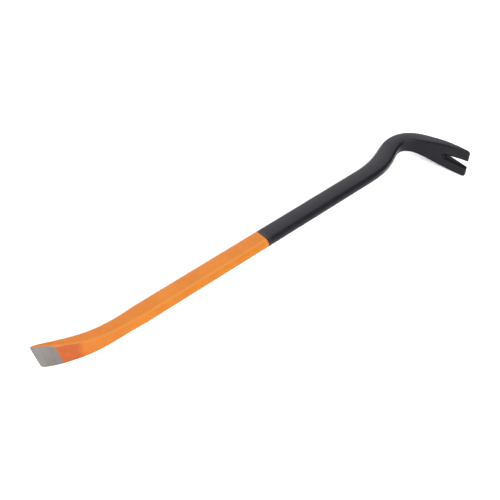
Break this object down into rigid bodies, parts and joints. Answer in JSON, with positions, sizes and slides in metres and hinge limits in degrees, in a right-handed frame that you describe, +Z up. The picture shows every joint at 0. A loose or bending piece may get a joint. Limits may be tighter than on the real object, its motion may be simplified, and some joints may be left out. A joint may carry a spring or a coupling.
{
  "type": "pry bar",
  "caption": "Forged steel pry bar with a flared chisel at one end and a gooseneck claw with a V-shaped nail slot at the other, painted orange on the chisel half and black on the claw half.",
  "frame": {"origin": "centre of the bounding box, on the plane that the bar lies on", "axes": "+X along the shank towards the claw end; the claw points to -Y; +Z up, square to the plane of the bends, with the bar lying on its side"},
  "size_m": [0.6022, 0.1034, 0.041],
  "materials": {
    "forged_steel": "ground bare steel",
    "orange_paint": "satin orange paint",
    "black_paint": "satin black paint, finely textured"
  },
  "bodies": {
    "root": {"steel_bar": "forged_steel", "orange_coat": "orange_paint", "black_coat": "black_paint"}
  },
  "joints": []
}
